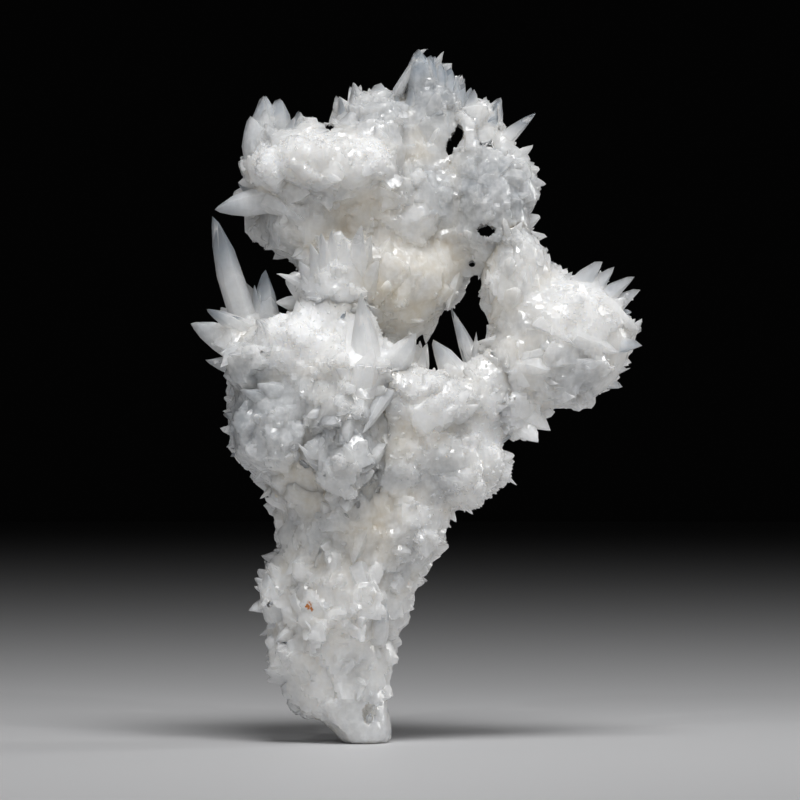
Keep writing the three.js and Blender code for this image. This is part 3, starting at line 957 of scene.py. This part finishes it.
def make_calcite():
    material, nodes, links = new_material("calcite")
    shader = nodes["Principled BSDF"]
    shader.inputs["IOR"].default_value = 1.55
    shader.inputs["Subsurface Weight"].default_value = 1
    shader.inputs["Subsurface Radius"].default_value = (1, 0.95, 0.88)
    shader.inputs["Subsurface Scale"].default_value = 9 * MM
    place = nodes.new("ShaderNodeTexCoord").outputs["Object"]

    # Milky white, greyer from crystal to crystal and in spots, cream in the hollows with faint clouds, both with
    # painted shade, and white crust spots with a painted highlight
    clouds = textured(nodes, links, "Noise", place, 14)
    cloudy = ranged(nodes, links, clouds.outputs["Fac"], 0.35, 0.65, 0.5, 1)
    varied = ranged(nodes, links, attribute(nodes, "chance"), 0, 1, 0, 0.6)
    milky = mixed(nodes, links, varied, MILKY, GREYISH)
    # Grey spots, more translucent crystal in part and painted shade in part.
    greyed_and_shaded = mixed(nodes, links, attribute(nodes, "grey_and_shade"), milky, GREY_AND_SHADE)
    # Cream in the hollows, a stain in part and painted shade in part, strongest where the skin lay deepest under
    # the hull.
    hollow = math_node(nodes, links, "MULTIPLY", attribute(nodes, "cream_and_shade"), cloudy)
    cream_and_shaded = mixed(nodes, links, hollow, greyed_and_shaded, CREAM_AND_SHADE)
    mists = textured(nodes, links, "Noise", place, 8, detail=3)
    misty = mixed(nodes, links, ranged(nodes, links, mists.outputs["Fac"], 0.45, 0.75, 0, 0.7), cream_and_shaded, MIST)
    mottles = textured(nodes, links, "Noise", place, 1.3, detail=4)
    mottled = mixed(nodes, links, ranged(nodes, links, mottles.outputs["Fac"], 0.4, 0.7, 0, 0.35), misty, SNOWY_AND_HIGHLIGHT)
    # White crust spots, with a painted highlight where the light falls on the tops.
    snow_and_highlight = attribute(nodes, "snow_and_highlight")
    crusted = mixed(nodes, links, snow_and_highlight, mottled, SNOWY_AND_HIGHLIGHT)

    # Clear towards the tips of the clear crystals, and tinted blue-grey there as a painted reflection
    glass = attribute(nodes, "glass")
    tinted_and_reflecting = mixed(nodes, links, glass, crusted, ICY_TINT_AND_REFLECTION)
    links.new(ranged(nodes, links, glass, 0, 1, 0, 0.7), shader.inputs["Transmission Weight"])

    # A few tiny black grains, and one grain of rust
    grains = textured(nodes, links, "Voronoi", place, 6)
    near_grain = ranged(nodes, links, grains.outputs["Distance"], 0.02, 0.03, 1, 0)
    speckled = mixed(nodes, links, near_grain, tinted_and_reflecting, GRAIN)
    offset = nodes.new("ShaderNodeVectorMath")
    offset.operation = "MULTIPLY_ADD"
    offset.inputs[1].default_value = (1 / MM, 0.25 / MM, 1 / MM)
    offset.inputs[2].default_value = (-RUST_AT[0], -0.25 * RUST_AT[1], -RUST_AT[2])
    links.new(place, offset.inputs[0])
    distance = nodes.new("ShaderNodeVectorMath")
    distance.operation = "LENGTH"
    links.new(offset.outputs["Vector"], distance.inputs[0])
    ragged = textured(nodes, links, "Noise", place, 0.9, detail=4)
    uneven = math_node(nodes, links, "MULTIPLY", ragged.outputs["Fac"], 2.4)
    reach = math_node(nodes, links, "ADD", distance.outputs["Value"], uneven)
    near_rust = ranged(nodes, links, reach, RUST_SIZE + 0.9, RUST_SIZE + 1.2, 1, 0)
    links.new(mixed(nodes, links, near_rust, speckled, RUST), shader.inputs["Base Color"])

    # Some faces are glossy and some frosted
    frost = textured(nodes, links, "Noise", place, 5)
    frosted = math_node(nodes, links, "MULTIPLY", attribute(nodes, "chance"), frost.outputs["Fac"])
    rough = ranged(nodes, links, frosted, 0.05, 0.3, 0.15, 0.6)
    polished = ranged(nodes, links, glass, 0, 1, 1, 0.3)
    glossy = math_node(nodes, links, "MULTIPLY", rough, polished)
    dull = ranged(nodes, links, snow_and_highlight, 0, 1, 0, 0.35)
    links.new(math_node(nodes, links, "ADD", glossy, dull), shader.inputs["Roughness"])

    # Growth marks, stretched upwards, and rougher in the spots of white crust and painted highlight
    stretched = nodes.new("ShaderNodeVectorMath")
    stretched.operation = "MULTIPLY"
    stretched.inputs[1].default_value = (1, 1, 0.4)
    links.new(place, stretched.inputs[0])
    marks = textured(nodes, links, "Noise", stretched.outputs["Vector"], 0.9, detail=4)
    bump = nodes.new("ShaderNodeBump")
    links.new(ranged(nodes, links, snow_and_highlight, 0, 1, 0.4, 0.9), bump.inputs["Strength"])
    bump.inputs["Distance"].default_value = 0.35 * MM
    links.new(marks.outputs["Fac"], bump.inputs["Height"])
    links.new(bump.outputs["Normal"], shader.inputs["Normal"])
    return material


def make_floor_material():
    material, nodes, links = new_material("floor")
    shader = nodes["Principled BSDF"]
    shader.inputs["Base Color"].default_value = (0.62, 0.62, 0.63, 1)
    shader.inputs["Roughness"].default_value = 0.6
    return material


# Stage

def make_floor():
    body = bmesh.new()
    bmesh.ops.create_circle(body, cap_ends=True, segments=96, radius=2)
    mesh = bpy.data.meshes.new("floor")
    body.to_mesh(mesh)
    body.free()
    floor = bpy.data.objects.new("floor", mesh)
    floor.data.materials.append(make_floor_material())
    bpy.context.scene.collection.objects.link(floor)


def make_light(name, place, target, size, power, spread=180, colour=(1, 1, 1)):
    light = bpy.data.lights.new(name, "AREA")
    light.shape = "RECTANGLE"
    light.size, light.size_y = size
    light.energy = power
    light.spread = math.radians(spread)
    light.color = colour
    lamp = bpy.data.objects.new(name, light)
    lamp.location = place
    lamp.rotation_euler = (Vector(target) - Vector(place)).to_track_quat("-Z", "Y").to_euler()
    bpy.context.scene.collection.objects.link(lamp)


def make_lights():
    middle = (0.006, 0, 0.07)
    make_light("key", (0.1, -0.42, 0.9), middle, (0.45, 0.35), 1.43, spread=80)
    make_light("glint_left", (-0.25, -0.5, 0.5), middle, (0.012, 0.012), 0.03, spread=60)
    make_light("glint_right", (0.3, -0.45, 0.45), middle, (0.012, 0.012), 0.03, spread=60)
    make_light("rim", (0.4, 0.12, 0.16), middle, (0.1, 0.2), 0.06, spread=60)
    make_light("fill", (-0.1, -0.7, 0.2), middle, (0.5, 0.4), 0.16, spread=60)
    world = bpy.data.worlds.new("dark_studio")
    world.use_nodes = True
    world.node_tree.nodes["Background"].inputs["Color"].default_value = (0.001, 0.001, 0.001, 1)
    bpy.context.scene.world = world
    bpy.context.scene.view_settings.view_transform = "Standard"


def make_camera():
    lens = bpy.data.cameras.new("camera")
    lens.sensor_width = SENSOR_WIDTH
    lens.lens = SENSOR_WIDTH * CAMERA_DISTANCE / IMAGE_WIDTH
    camera = bpy.data.objects.new("camera", lens)
    camera.location = Vector((CAMERA_X, -CAMERA_DISTANCE, CAMERA_HEIGHT)) * MM
    camera.rotation_euler = (math.pi / 2, 0, 0)
    bpy.context.scene.collection.objects.link(camera)
    bpy.context.scene.camera = camera


# Without a seed the noise vectors would differ from run to run.
noise.seed_set(NOISE_SEED)
make_camera()
make_floor()
make_lights()
calcite = make_calcite()
hull = make_hull()
for seed, node in enumerate(GROWTH, 1):
    make_branch(node, seed, hull)
